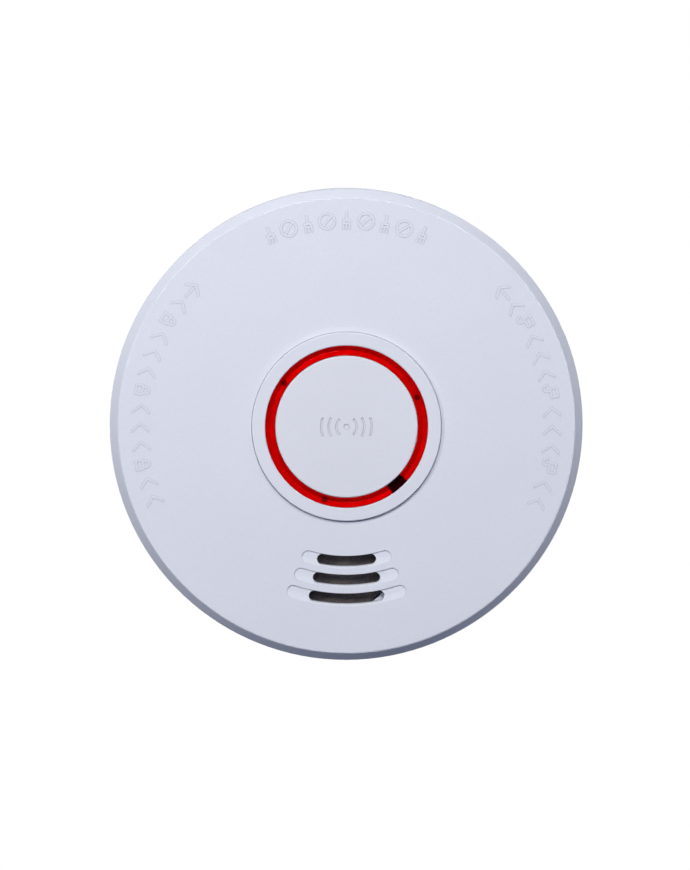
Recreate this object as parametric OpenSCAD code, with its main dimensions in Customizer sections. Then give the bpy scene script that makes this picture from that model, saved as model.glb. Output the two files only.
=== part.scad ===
// Round battery smoke alarm on a twist-lock wall plate.
// Millimetres. Z points out of the front face, and Z = 0 is the back of the wall plate at its centre.
// +Y is the top of the face; the sound slots lie toward -Y.

/* [Overall] */
// Diameter of the alarm
body_d = 120; // [120:1:124]
// Height of the flat front face above the wall
face_z = 36; // [36:0.5:38]
// Thickness of the moulded walls
wall = 2; // [1.8:0.1:2.2]

/* [Cover] */
// Width of the sloped edge round the face, seen from the front
edge_slope_w = 2.2; // [1.5:0.1:3]
// Height of the sloped edge
edge_slope_h = 2.8; // [1.5:0.1:3.5]
// Number of smoke inlets round the side
inlet_count = 48; // [24:4:48]
// Width of one smoke inlet
inlet_w = 5.2; // [3:0.1:5.4]
// How far the inlet band is set back from the side
inlet_setback = 2.1; // [1.6:0.1:2.3]

/* [Sound slots] */
// Number of sound slots
slot_count = 3; // [1:1:3]
// Inner radius of the first slot
slot_first_r = 32.9; // [32:0.1:33.5]
// Radial distance from one slot to the next
slot_pitch = 4.8; // [4.4:0.1:4.9]
// Width of a slot
slot_w = 2.8; // [2:0.05:2.8]
// Half of the angle a slot spans
slot_half_angle = 12.6; // [8:0.1:14]
// Width of the shallow pocket round a slot
pocket_w = 3.2; // [3:0.1:3.8]
// Half of the angle the first pocket spans
pocket_half_angle = 19.1; // [16:0.1:21]
// Depth of a pocket at its inner edge
pocket_depth = 0.35; // [0.2:0.05:0.8]

/* [Centre] */
// Radius of the test button
button_r = 18; // [17.5:0.1:18]
// Inner radius of the bezel, where the light ring ends
channel_r = 20.6; // [20.6:0.1:21]
// Outer radius of the bezel
bezel_r = 24; // [23.6:0.1:24]
// Height of the bezel above the face
bezel_rise = 1; // [1:0.1:2]
// How far the edges of the light ring lie below the top of the bezel
ring_sink = 0.35; // [0.2:0.05:0.6]
// Depth of the groove in the light ring
ring_groove = 1.2; // [0.4:0.1:1.2]
// Travel of the test button
button_travel = 0.6; // [0.3:0.1:0.6]
// Direction of the status light's window, in degrees from +X
window_angle = -48.7; // [-52:0.1:-46]

/* [Raised marks] */
// Radius of the middle of the ring of marks
mark_r = 52.1; // [51:0.1:53]
// Height of one mark, measured radially
mark_size = 4.4; // [3:0.1:4.6]
// How far the marks stand out of the face
mark_relief = 0.12; // [0.05:0.01:0.5]

/* [Wall plate] */
// Turn from locked to released, in degrees
twist = 15; // [10:1:15]
// Distance between the two slotted screw holes
wall_slot_spacing = 60; // [56:1:62]
// Distance between the two round screw holes
wall_hole_spacing = 80; // [78:1:82]
// Width of the screw holes
wall_hole_w = 4.4; // [3.6:0.1:4.6]
// End-to-end length of a slotted screw hole
wall_slot_length = 9; // [7:0.5:10]

/* [Battery] */
// Length of the battery's case
battery_l = 46; // [45:0.5:46]
// Width of the battery
battery_w = 26.5; // [25:0.5:26.5]
// Thickness of the battery
battery_t = 17.5; // [16:0.5:17.5]

/* [Sensor and horn] */
// Radius of the smoke chamber
chamber_r = 19; // [18.6:0.1:19]
// Number of places round the chamber for light-trap vanes
vane_places = 18; // [12:1:20]
// Radius of the horn's housing
horn_r = 16.75; // [16.4:0.05:16.8]
// Radius of the piezo's brass plate
piezo_r = 13.5; // [12:0.5:13.5]

/* [Hidden] */
$fn = 96;

// A little extra length so that cutters pass clean through, and the slack of parts that slide
cut = 0.5;
slide_gap = 0.08;
close_gap = 0.05;

body_r = body_d / 2;
ceiling_z = face_z - wall;

// Levels of the stacked shells, from the wall outward
plate_t = 2.2;
plate_rim_top = 4.5;
floor_bottom = 5;
floor_top = 7;
skirt_bottom = 1.2;
skirt_top = 10.7;
lip_top = 13.3;
cover_bottom = 11;
inlet_bottom = 13.6;
inlet_top = 20;

// Radii of the stacked shells
base_r = body_r - 2;
base_inner_r = base_r - 1.8;
lip_r = body_r - 4.1;
lip_t = 1.6;
plate_r = base_inner_r - 0.4;
inlet_r = body_r - inlet_setback;
cover_inner_r = body_r - 3.9;

// Twist-lock hooks of the wall plate
hook_angles = [95, 215, 335];
hook_half_angle = 5.5;
hook_r = 43.8;
hook_post_w = 2.1;
hook_reach = 5.4;
hook_top = 8.8;
hook_flange_t = 1.5;
hook_room = 0.7;

// Screws that hold the two shells together
housing_screw_angles = [52, 145, 228, 348];
housing_screw_r = 49.5;
screw_shank_r = 1.45;
screw_bore_r = 1.5;
boss_bottom = 9.6;
screw_bore_top = 24;

// Circuit board
board_z = 11;
board_t = 1.6;
board_top = board_z + board_t;
board_r = 44;
board_edge_y = -17.6;
board_screw_places = [[-38, -8], [38, -8], [-30, 25]];

// Centre group
bezel_top = face_z + bezel_rise;
bezel_floor_bottom = ceiling_z - 1.6;
bezel_floor_top = ceiling_z + 0.3;
bezel_flange_r = bezel_r + 2;
bezel_draft = 0.1;
button_top = bezel_top - 0.1;
button_t = 1.8;
button_skirt_t = 1.6;
peg_angles = [22.4, 144.9, 253.2];
peg_ring_r = (button_r + channel_r) / 2;
peg_r = 0.75;
window_half_angle = 6.4;
bridge_top = 30.4;
bridge_t = 2;
bridge_w = 8;
bridge_screw_x = 30;
stem_r = 3.9;
stem_tip_r = 2.2;
stem_step_z = 25;
sleeve_r = 5.6;
sleeve_bottom = 24.4;
sleeve_top = bridge_top + 0.8;
switch_size = 6;
switch_h = 3.5;
plunger_r = 1.75;
plunger_top = 17.2;
plunger_foot = 1.8;
status_led_at = [peg_ring_r * cos(window_angle), peg_ring_r * sin(window_angle)];

// Smoke chamber
chamber_at = [0, 25];
chamber_floor_z = board_top + 0.2;
chamber_floor_t = 2.5;
chamber_lid_z = 28;
chamber_lid_t = 1.6;
beam_z = 19.3;
emitter_angle = 205;
receiver_angle = 335;
optic_r = 2.5;
optic_start = 9.5;
optic_length = 5.5;

// Horn
horn_at = [-3.4, -31.4];
horn_z = 22.1;
horn_top = 31;
gauze_t = 0.4;
collar_ledge_z = 32.6;
piezo_z = 25.12;

// Battery bay
battery_at = [-3, -33.2];
battery_z = 3.3;
bay_wall = 1.2;
bay_room = 0.4;
bay_top = 22;
snap_room = 6.4;
terminal_h = 2.5;
terminal_offset = 6.35;
snap_t = 4.6;

// ---------------------------------------------------------------------------------------------
// Outlines with true arcs. A corner is [x, y, radius], and corners run counter-clockwise.

function flat(p) = [p[0], p[1]];
function unit(v) = v / norm(v);
function corner(c, i) = c[(i + len(c)) % len(c)];
function heading_in(c, i) = unit(flat(corner(c, i)) - flat(corner(c, i - 1)));
function heading_out(c, i) = unit(flat(corner(c, i + 1)) - flat(corner(c, i)));
function left_turn(c, i) =
    heading_in(c, i)[0] * heading_out(c, i)[1] - heading_in(c, i)[1] * heading_out(c, i)[0];
function half_turn(c, i) = acos(heading_in(c, i) * heading_out(c, i)) / 2;
function setback(c, i) = c[i][2] * tan(half_turn(c, i));
function arc_centre(c, i) =
    flat(c[i]) + unit(heading_out(c, i) - heading_in(c, i)) * c[i][2] / cos(half_turn(c, i));
function corner_points(c, i) = c[i][2] == 0 ? [flat(c[i])]
    : [flat(c[i]) - heading_in(c, i) * setback(c, i), flat(c[i]) + heading_out(c, i) * setback(c, i)];

// Discs at the corners that turn left (side = 1) or right (side = -1)
module corner_discs(c, side) {
    for (i = [0:len(c) - 1])
        if (c[i][2] > 0 && left_turn(c, i) * side > 0)
            translate(arc_centre(c, i)) circle(r = c[i][2]);
}

module smooth_polygon(c) {
    difference() {
        union() {
            polygon([for (i = [0:len(c) - 1]) each corner_points(c, i)]);
            corner_discs(c, 1);
        }
        corner_discs(c, -1);
    }
}

// A rectangle with four equal rounded corners, centred
module rounded_rectangle(w, h, r) {
    smooth_polygon([[-w / 2, -h / 2, r], [w / 2, -h / 2, r], [w / 2, h / 2, r], [-w / 2, h / 2, r]]);
}

// A turned solid from a half outline; the trim keeps a wide corner arc from crossing the axis
module turned(c) {
    rotate_extrude()
        intersection() {
            smooth_polygon(c);
            translate([0, -body_d]) square(2 * body_d);
        }
}

// A straight slot along X with round ends, centred
module straight_slot(length, w) {
    square([length - w, w], center = true);
    for (side = [-1, 1])
        translate([side * (length - w) / 2, 0]) circle(r = w / 2);
}

// ---------------------------------------------------------------------------------------------
// Small helpers

module tube(r_out, r_in, z0, z1) {
    translate([0, 0, z0])
        difference() {
            cylinder(r = r_out, h = z1 - z0);
            translate([0, 0, -cut]) cylinder(r = r_in, h = z1 - z0 + 2 * cut);
        }
}

module rod(r, z0, z1) {
    translate([0, 0, z0]) cylinder(r = r, h = z1 - z0);
}

// A ring sector with square ends, from r_in to r_out and from angle a0 to a1
module sector(r_in, r_out, a0, a1, z0, z1) {
    rotate([0, 0, a0])
        rotate_extrude(angle = a1 - a0)
            translate([r_in, z0]) square([r_out - r_in, z1 - z0]);
}

// A curved slot with round ends, its tips half_angle either side of angle a
module curved_slot(r_in, r_out, a, half_angle, z0, z1) {
    mid_r = (r_in + r_out) / 2;
    end_r = (r_out - r_in) / 2;
    end_angle = half_angle - end_r / mid_r * 180 / PI;
    sector(r_in, r_out, a - end_angle, a + end_angle, z0, z1);
    for (side = [-1, 1])
        rotate([0, 0, a + side * end_angle]) translate([mid_r, 0, 0]) rod(end_r, z0, z1);
}

module at_housing_screws() {
    for (a = housing_screw_angles)
        rotate([0, 0, a]) translate([housing_screw_r, 0, 0]) children();
}

module at_board_screws() {
    for (p = board_screw_places)
        translate([p[0], p[1], 0]) children();
}

module at_bridge_screws() {
    for (side = [-1, 1])
        translate([side * bridge_screw_x, 0, 0]) children();
}

// A cross-head screw whose head's underside lies at z = 0, with the shank toward +Z
module pan_screw(shank_r, length, head_r, head_h) {
    recess_w = shank_r * 0.5;
    recess_l = head_r * 1.2;
    recess_depth = head_h * 0.6;
    tip = shank_r * 1.2;
    difference() {
        rotate_extrude()
            smooth_polygon([[0, -head_h, 0], [head_r, -head_h, head_h * 0.45], [head_r, 0, 0],
                [shank_r, 0, 0], [shank_r, length - tip, 0], [shank_r * 0.3, length, 0], [0, length, 0]]);
        for (a = [0, 90])
            rotate([0, 0, a])
                translate([-recess_l / 2, -recess_w / 2, -head_h - cut])
                    cube([recess_l, recess_w, recess_depth + cut]);
    }
}

// An insulated wire that runs along +Y, bends once and drops to z1
module bent_wire(r, x, y0, y1, z0, z1, bend_r) {
    translate([x, y0, z0]) rotate([-90, 0, 0]) cylinder(r = r, h = y1 - bend_r - y0);
    translate([x, y1 - bend_r, z0 - bend_r])
        rotate([0, -90, 0]) rotate_extrude(angle = 90) translate([bend_r, 0]) circle(r = r);
    translate([x, y1, z1]) cylinder(r = r, h = z0 - bend_r - z1);
}

// ---------------------------------------------------------------------------------------------
// Wall plate

module plate_hook() {
    sector(hook_r, hook_r + hook_post_w, -hook_half_angle, hook_half_angle, plate_t - cut, hook_top);
    sector(hook_r, hook_r + hook_reach, -hook_half_angle, hook_half_angle,
        hook_top - hook_flange_t, hook_top);
}

// The opening under a hook's flange, which lets the hook be moulded in one piece with the plate
module hook_window() {
    sector(hook_r + hook_post_w + 0.3, hook_r + hook_reach + 0.5, -hook_half_angle - 0.5,
        hook_half_angle + 0.5, -cut, plate_t + cut);
}

module wall_screw_holes() {
    for (side = [-1, 1]) {
        translate([side * wall_slot_spacing / 2, 0, -cut])
            linear_extrude(plate_t + 2 * cut) straight_slot(wall_slot_length, wall_hole_w);
        translate([side * wall_hole_spacing / 2, 0, 0]) rod(wall_hole_w / 2, -cut, plate_t + cut);
    }
}

// Sunk into the back: a gasket groove, the mould's ejector marks and an arrow toward the top of the face
module plate_back_marks() {
    groove_r = 51.8;
    groove_w = 1;
    groove_depth = 0.5;
    ejector_marks = 10;
    ejector_ring_r = 36;
    ejector_r = 2.2;
    sink = 0.3;
    arrow_base_y = 20;
    arrow_w = 5;
    arrow_h = 6;
    tube(groove_r + groove_w, groove_r, -cut, groove_depth);
    for (i = [0:ejector_marks - 1])
        rotate([0, 0, (i + 0.5) * 360 / ejector_marks])
            translate([ejector_ring_r, 0, 0]) rod(ejector_r, -cut, sink);
    translate([0, arrow_base_y, -cut])
        linear_extrude(cut + sink) polygon([[-arrow_w / 2, 0], [arrow_w / 2, 0], [0, arrow_h]]);
}

module mounting_plate() {
    hub_r = 15;
    rim_w = 1.6;
    hub_top = 4;
    color("gainsboro")
        difference() {
            union() {
                rotate_extrude()
                    smooth_polygon([[hub_r, 0, 0.4], [plate_r, 0, 0.5], [plate_r, plate_rim_top, 0.4],
                        [plate_r - rim_w, plate_rim_top, 0.4], [plate_r - rim_w, plate_t, 0.5],
                        [hub_r + rim_w, plate_t, 0.5], [hub_r + rim_w, hub_top, 0.4],
                        [hub_r, hub_top, 0.4]]);
                for (a = hook_angles)
                    rotate([0, 0, a]) plate_hook();
            }
            for (a = hook_angles)
                rotate([0, 0, a]) hook_window();
            wall_screw_holes();
            plate_back_marks();
        }
}

// ---------------------------------------------------------------------------------------------
// Rear shell with the battery bay

// Size and place of the bay's inner space: it holds the battery and the snap connector at its +X end
bay_x0 = battery_at[0] - battery_l / 2 - bay_room;
bay_x1 = battery_at[0] + battery_l / 2 + snap_room;
bay_y0 = battery_at[1] - battery_w / 2 - bay_room;
bay_y1 = battery_at[1] + battery_w / 2 + bay_room;

module bay_box(grow, z0, z1) {
    translate([bay_x0 - grow, bay_y0 - grow, z0])
        cube([bay_x1 - bay_x0 + 2 * grow, bay_y1 - bay_y0 + 2 * grow, z1 - z0]);
}

module hook_slot(a) {
    entry = a - twist;
    margin = hook_half_angle + hook_room;
    inner = hook_r - 0.4;
    sector(inner, hook_r + hook_post_w + 0.4, entry - margin, a + margin,
        floor_bottom - cut, floor_top + cut);
    sector(inner, hook_r + hook_reach + 0.4, entry - margin, entry + margin,
        floor_bottom - cut, floor_top + cut);
}

module battery_lead_notch() {
    translate([bay_x1 - 5.5, bay_y1 - cut, 13.6]) cube([4.4, bay_wall + 2 * cut, 3.4]);
}

module base_shell() {
    boss_r = 4.2;
    head_room_r = 3.1;
    head_room_z = 7.4;
    post_r = 2.6;
    color("whitesmoke")
        difference() {
            union() {
                rotate_extrude()
                    smooth_polygon([[0, floor_bottom, 0], [base_inner_r, floor_bottom, 0.5],
                        [base_inner_r, skirt_bottom, 0.4], [base_r, skirt_bottom, 0.8],
                        [base_r, skirt_top, 0.4], [lip_r, skirt_top, 0], [lip_r, lip_top, 0.4],
                        [lip_r - lip_t, lip_top, 0.4], [lip_r - lip_t, floor_top, 0], [0, floor_top, 0]]);
                intersection() {
                    bay_box(bay_wall, floor_bottom, bay_top);
                    rod(lip_r - 0.3, 0, bay_top + cut);
                }
                at_housing_screws() rod(boss_r, floor_bottom, boss_bottom - 0.1);
                at_board_screws() rod(post_r, floor_top - cut, board_z);
            }
            bay_box(0, -cut, bay_top - 1);
            battery_lead_notch();
            at_housing_screws() {
                rod(screw_bore_r + 0.2, floor_bottom - cut, boss_bottom + cut);
                rod(head_room_r, floor_bottom - cut, head_room_z);
            }
            at_board_screws() rod(1.15, floor_bottom + 1, board_z + cut);
            for (a = hook_angles)
                hook_slot(a);
        }
}

// ---------------------------------------------------------------------------------------------
// Raised marks on the face. Each is drawn upright with +X clockwise round the face and +Y outward.

mark_stroke = 0.55;

module stroke_circle(r) {
    difference() {
        circle(r = r);
        circle(r = r - mark_stroke);
    }
}

module stroke_rectangle(w, h) {
    difference() {
        square([w, h], center = true);
        square([w - 2 * mark_stroke, h - 2 * mark_stroke], center = true);
    }
}

// A thin V that points toward +X
module chevron_mark(reach = 2.6) {
    half = mark_size / 2;
    thick = mark_stroke * 1.3;
    polygon([[-reach / 2, -half], [-reach / 2 + thick, -half], [reach / 2, 0], [-reach / 2 + thick, half],
        [-reach / 2, half], [reach / 2 - thick, 0]]);
}

module arrow_mark() {
    translate([0.9, 0]) chevron_mark(2.2);
    translate([-2.3, -mark_stroke / 2]) square([3.4, mark_stroke]);
}

// A padlock, its shackle toward the centre of the face; an open one has its shackle swung aside
module padlock_mark(open) {
    lock_w = 2.8;
    lock_h = 2.2;
    shackle_r = 1.05;
    shackle_x = open ? shackle_r + 0.25 : 0;
    body_edge = mark_size / 2 - lock_h;
    translate([0, body_edge + lock_h / 2]) stroke_rectangle(lock_w, lock_h);
    translate([shackle_x, body_edge - 0.6])
        difference() {
            stroke_circle(shackle_r);
            translate([-lock_w, 0]) square([2 * lock_w, lock_w]);
        }
    for (side = [-1, 1])
        translate([shackle_x + side * (shackle_r - mark_stroke / 2) - mark_stroke / 2, body_edge - 0.7])
            square([mark_stroke, (open && side > 0) ? 0.5 : 0.8]);
}

module barred_circle_mark() {
    stroke_circle(mark_size / 2);
    rotate([0, 0, 45]) square([mark_size - mark_stroke, mark_stroke], center = true);
}

module brush_mark() {
    half = mark_size / 2;
    head_w = 2;
    head_h = 1;
    bristle_w = 0.4;
    translate([-mark_stroke / 2, 0]) square([mark_stroke, half]);
    translate([0, -head_h / 2 + 0.1]) stroke_rectangle(head_w, head_h + 0.3);
    for (i = [-1, 0, 1])
        translate([i * (head_w - bristle_w) / 2 - bristle_w / 2, -half])
            square([bristle_w, half - head_h + 0.1]);
}

module mark_at(angle) {
    rotate([0, 0, angle - 90]) translate([0, mark_r]) children();
}

// Left of the face: turn clockwise to lock. Right: turn the other way to release. Top: do not paint.
module mark_rows() {
    turn_marks = 13;
    turn_pitch = 5.2;
    left_start = 138.5;
    right_start = 40.5;
    paint_marks = 9;
    paint_pitch = 5.4;
    for (i = [0:turn_marks - 1]) {
        mark_at(left_start + i * turn_pitch) {
            if (i == 0) arrow_mark();
            else if (i % 4 == 2) padlock_mark(false);
            else chevron_mark();
        }
        mark_at(right_start - i * turn_pitch)
            mirror([1, 0]) {
                if (i == 0) arrow_mark();
                else if (i % 4 == 2) padlock_mark(true);
                else chevron_mark();
            }
    }
    for (i = [0:paint_marks - 1])
        mark_at(90 + (i - (paint_marks - 1) / 2) * paint_pitch) {
            if (i % 2 == 0) brush_mark();
            else barred_circle_mark();
        }
}

// ---------------------------------------------------------------------------------------------
// Front cover

function slot_r(i) = slot_first_r + i * slot_pitch;

// Each pocket has a step at its inner edge, an almost level floor and a soft rise at its outer edge
module sound_pocket(i) {
    r0 = slot_r(i);
    r1 = r0 + pocket_w;
    half_angle = pocket_half_angle + 0.45 * i;
    rise_w = 1.5;
    rise_start = face_z - pocket_depth * 0.75;
    intersection() {
        curved_slot(r0, r1, -90, half_angle, ceiling_z, face_z + cut);
        rotate_extrude()
            smooth_polygon([[r0 - cut, face_z - pocket_depth, 0], [r1 - rise_w, rise_start, 5],
                [r1, face_z, 0], [r1 + cut, face_z + 0.1, 0], [r1 + cut, face_z + 2 * cut, 0],
                [r0 - cut, face_z + 2 * cut, 0]]);
    }
}

// The openings stop at a ledge in the horn's collar, a little above the felt
module sound_openings() {
    for (i = [0:slot_count - 1]) {
        sound_pocket(i);
        curved_slot(slot_r(i) + 0.05, slot_r(i) + slot_w, -90, slot_half_angle,
            collar_ledge_z, face_z + cut);
    }
}

module smoke_inlets() {
    inlet_z = inlet_bottom + 0.6;
    inlet_h = inlet_top - 0.5 - inlet_z;
    for (i = [0:inlet_count - 1])
        rotate([0, 0, (i + 0.5) * 360 / inlet_count])
            translate([cover_inner_r - 1, -inlet_w / 2, inlet_z])
                cube([5, inlet_w, inlet_h]);
}

// The collar that centres the horn under the sound slots, open where the button group passes
module horn_collar() {
    difference() {
        translate([horn_at[0], horn_at[1], 0]) tube(horn_r + 1.9, horn_r + 0.25, 29.5, ceiling_z + cut);
        rod(bezel_flange_r + 0.8, 0, face_z);
    }
}

module front_cover() {
    color("whitesmoke")
        difference() {
            union() {
                rotate_extrude()
                    smooth_polygon([[bezel_r + close_gap, ceiling_z, 0],
                        [body_r - wall, ceiling_z, 1],
                        [body_r - wall, inlet_top + wall, 0],
                        [cover_inner_r, inlet_top + wall, 0.4],
                        [cover_inner_r, cover_bottom, 0.4],
                        [body_r - 1, cover_bottom, 0.4],
                        [body_r - 1, inlet_bottom, 0.4],
                        [inlet_r, inlet_bottom, 0.3],
                        [inlet_r, inlet_top, 0.3],
                        [body_r, inlet_top, 0.5],
                        [body_r, face_z - edge_slope_h, 0.8],
                        [body_r - edge_slope_w, face_z, 0.5],
                        [bezel_r + close_gap, face_z, 0.05]]);
                at_housing_screws() rod(3.2, boss_bottom, ceiling_z + cut);
                at_bridge_screws() rod(2.8, bridge_top + 0.1, ceiling_z + cut);
                horn_collar();
                translate([0, 0, face_z - cut]) linear_extrude(cut + mark_relief) mark_rows();
            }
            smoke_inlets();
            sound_openings();
            at_housing_screws() rod(screw_bore_r, boss_bottom - cut, screw_bore_top);
            at_bridge_screws() rod(0.95, bridge_top - cut, ceiling_z - 0.4);
        }
}

// ---------------------------------------------------------------------------------------------
// Centre: bezel, light ring and test button

// The bezel is L-shaped in section: its inner floor carries the light ring
module bezel_ring() {
    bore_r = button_r + slide_gap;
    color("whitesmoke")
        difference() {
            rotate_extrude()
                smooth_polygon([[bore_r, bezel_floor_bottom, 0], [bezel_flange_r, bezel_floor_bottom, 0.3],
                    [bezel_flange_r, ceiling_z - 0.2, 0.3], [bezel_r, ceiling_z - 0.2, 0],
                    [bezel_r, face_z, 0], [bezel_r - bezel_draft, bezel_top, 0.25],
                    [channel_r, bezel_top, 0.25],
                    [channel_r, bezel_floor_top, 0], [bore_r, bezel_floor_top, 0]]);
            for (a = peg_angles)
                rotate([0, 0, a]) translate([peg_ring_r, 0, 0]) rod(peg_r + 0.1, 0, ceiling_z + 1);
            curved_slot(button_r + 0.25, channel_r - 0.05, window_angle, window_half_angle, 0, ceiling_z + 1);
        }
}

// The ring's top is a groove between two low rims, and its pegs stand in the bezel's floor
module light_ring() {
    rim_z = bezel_top - ring_sink;
    r_in = button_r + slide_gap;
    r_out = channel_r - close_gap;
    rim_w = 0.2;
    valley_r = 0.12;
    color("crimson", 0.7) {
        rotate_extrude()
            smooth_polygon([[r_in, bezel_floor_top + 0.05, 0], [r_out, bezel_floor_top + 0.05, 0],
                [r_out, rim_z, 0.12], [r_out - rim_w, rim_z, 0.08],
                [(r_in + r_out) / 2, rim_z - ring_groove, valley_r],
                [r_in + rim_w, rim_z, 0.08], [r_in, rim_z, 0.12]]);
        for (a = peg_angles)
            rotate([0, 0, a])
                translate([peg_ring_r, 0, 0]) rod(peg_r, bezel_floor_bottom + 0.2, bezel_floor_top + 0.1);
    }
}

// A dot with arcs on both sides: a generic sounding signal
module signal_mark() {
    dot_r = 0.75;
    arc_w = 0.6;
    arc_radii = [2.3, 4.2, 6.1];
    arc_half_angles = [50, 31, 21];
    circle(r = dot_r);
    for (side = [0, 180], i = [0:len(arc_radii) - 1])
        rotate([0, 0, side])
            intersection() {
                difference() {
                    circle(r = arc_radii[i] + arc_w);
                    circle(r = arc_radii[i]);
                }
                polygon([[0, 0], 9 * [cos(arc_half_angles[i]), -sin(arc_half_angles[i])],
                    9 * [cos(arc_half_angles[i]), sin(arc_half_angles[i])]]);
            }
}

// Catches under the bezel's floor, which keep the button from coming out
module button_hook() {
    hook_bottom = bezel_floor_bottom - 1.5;
    rotate([0, 0, -6])
        rotate_extrude(angle = 12)
            polygon([[button_r - button_skirt_t + 0.1, bezel_floor_bottom + 1],
                [button_r - button_skirt_t + 0.1, hook_bottom], [button_r - 0.4, hook_bottom],
                [button_r + 1.2, bezel_floor_bottom - 0.5], [button_r + 1.2, bezel_floor_bottom - 0.1],
                [button_r - 0.1, bezel_floor_bottom - 0.1], [button_r - 0.1, bezel_floor_bottom + 1]]);
}

module test_button() {
    under = button_top - button_t;
    skirt_z = bezel_floor_bottom + 0.6;
    inner_r = button_r - button_skirt_t;
    mark_depth = 0.25;
    color("whitesmoke")
        difference() {
            union() {
                rotate_extrude()
                    smooth_polygon([[0, under, 0], [inner_r, under, 0.5], [inner_r, skirt_z, 0],
                        [button_r, skirt_z, 0], [button_r, button_top, 0.35], [0, button_top, 0]]);
                rod(stem_r, stem_step_z, under + cut);
                rod(stem_tip_r, plunger_top + 0.05, stem_step_z + cut);
                for (a = [90, 210, 330])
                    rotate([0, 0, a]) button_hook();
            }
            translate([0, 0, button_top - mark_depth]) linear_extrude(mark_depth + cut) signal_mark();
        }
}

// The return spring: a wire of hexagonal section swept along a helix, as rings of points
module button_spring() {
    wire_r = 0.3;
    coil_r = 6.6;
    turns = 3.5;
    steps_per_turn = 20;
    sides = 6;
    z0 = bridge_top + wire_r + 0.02;
    z1 = button_top - button_t - wire_r - 0.02;
    steps = turns * steps_per_turn;
    points = [for (i = [0:steps], k = [0:sides - 1])
        let (a = i * 360 / steps_per_turn,
             b = k * 360 / sides,
             r = coil_r + wire_r * cos(b))
        [r * cos(a), r * sin(a), z0 + (z1 - z0) * i / steps + wire_r * sin(b)]];
    side_faces = [for (i = [0:steps - 1], k = [0:sides - 1])
        [i * sides + k, (i + 1) * sides + k, (i + 1) * sides + (k + 1) % sides, i * sides + (k + 1) % sides]];
    first_cap = [for (k = [0:sides - 1]) k];
    last_cap = [for (k = [0:sides - 1]) steps * sides + sides - 1 - k];
    color("silver") polyhedron(points, concat([first_cap, last_cap], side_faces));
}

// The bar under the button: its sleeve guides the stem, and the spring stands on it
module button_bridge() {
    length = 2 * bridge_screw_x + 7;
    color("gainsboro")
        difference() {
            union() {
                translate([0, 0, bridge_top - bridge_t])
                    linear_extrude(bridge_t) rounded_rectangle(length, bridge_w, 2);
                rod(sleeve_r, sleeve_bottom, sleeve_top);
            }
            rod(stem_r + 0.07, sleeve_bottom - cut, sleeve_top + cut);
            at_bridge_screws() rod(1.3, bridge_top - bridge_t - cut, bridge_top + cut);
        }
}

module bridge_screws() {
    color("silver")
        at_bridge_screws()
            translate([0, 0, bridge_top - bridge_t - 0.02]) pan_screw(0.9, 5, 2.1, 1.3);
}

module housing_screws() {
    color("silver")
        at_housing_screws()
            translate([0, 0, 7.35]) pan_screw(screw_shank_r, 14, 2.8, 2);
}

// ---------------------------------------------------------------------------------------------
// Circuit board and the parts soldered to it

module circuit_board() {
    color("seagreen")
        translate([0, 0, board_z])
            difference() {
                linear_extrude(board_t)
                    difference() {
                        circle(r = board_r);
                        translate([-board_r - 1, board_edge_y - 2 * board_r])
                            square([2 * board_r + 2, 2 * board_r]);
                    }
                at_board_screws() rod(1.6, -cut, board_t + cut);
            }
}

module board_screws() {
    color("silver")
        at_board_screws()
            translate([0, 0, board_top + 0.02]) mirror([0, 0, 1]) pan_screw(1.1, 4.6, 2.4, 1.5);
}

module switch_body() {
    color("dimgray")
        translate([0, 0, board_top])
            difference() {
                linear_extrude(switch_h) rounded_rectangle(switch_size, switch_size, 0.6);
                rod(plunger_r + 0.05, plunger_foot - button_travel - 0.2, switch_h + cut);
            }
}

module switch_plunger() {
    color("black")
        rotate_extrude()
            smooth_polygon([[0, board_top + plunger_foot, 0], [plunger_r, board_top + plunger_foot, 0],
                [plunger_r, plunger_top, 0.3], [0, plunger_top, 0]]);
}

module status_led() {
    color("red")
        translate([status_led_at[0], status_led_at[1], board_top])
            turned([[0, 0, 0], [1.8, 0, 0], [1.8, 0.8, 0], [1.5, 0.8, 0], [1.5, 3.4, 1.2], [0, 3.4, 0]]);
}

// Carries the status light up to the window in the bezel's floor
module light_pipe() {
    foot_top = 18;
    pipe_top = bezel_floor_bottom + 0.1;
    color("lightcyan", 0.6)
        difference() {
            union() {
                translate([status_led_at[0], status_led_at[1], 0]) rod(2.6, board_top + 0.05, foot_top);
                curved_slot(button_r + 0.4, channel_r - 0.2, window_angle, window_half_angle - 0.5,
                    foot_top - cut, pipe_top - 0.15);
            }
            translate([status_led_at[0], status_led_at[1], 0]) rod(1.95, 0, board_top + 3.8);
        }
}

module control_chip() {
    pins_a_side = 8;
    pin_pitch = 2.54;
    chip_w = 6.4;
    chip_l = 19.3;
    color("black")
        translate([-27, 2, board_top]) {
            difference() {
                translate([0, 0, 0.7]) linear_extrude(3.3) rounded_rectangle(chip_w, chip_l, 0.3);
                translate([0, chip_l / 2, 3.4]) rod(1, 0, 1);
            }
            for (side = [-1, 1], i = [0:pins_a_side - 1])
                translate([side * (chip_w / 2 + 0.2) - 0.4, (i - 3.5) * pin_pitch - 0.25, 0])
                    cube([0.8, 0.5, 2]);
        }
}

module can_capacitor(r, h) {
    rotate_extrude()
        smooth_polygon([[0, 0.3, 0], [r, 0.3, 0.3], [r, h * 0.2, 0], [r - 0.3, h * 0.24, 0],
            [r, h * 0.28, 0], [r, h, 0.5], [0, h, 0]]);
}

module capacitors() {
    color("midnightblue") {
        translate([27, 7, board_top]) can_capacitor(4, 11);
        translate([34, -1, board_top]) can_capacitor(2.5, 7);
        translate([-34, 12, board_top]) can_capacitor(2, 5);
    }
}

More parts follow.
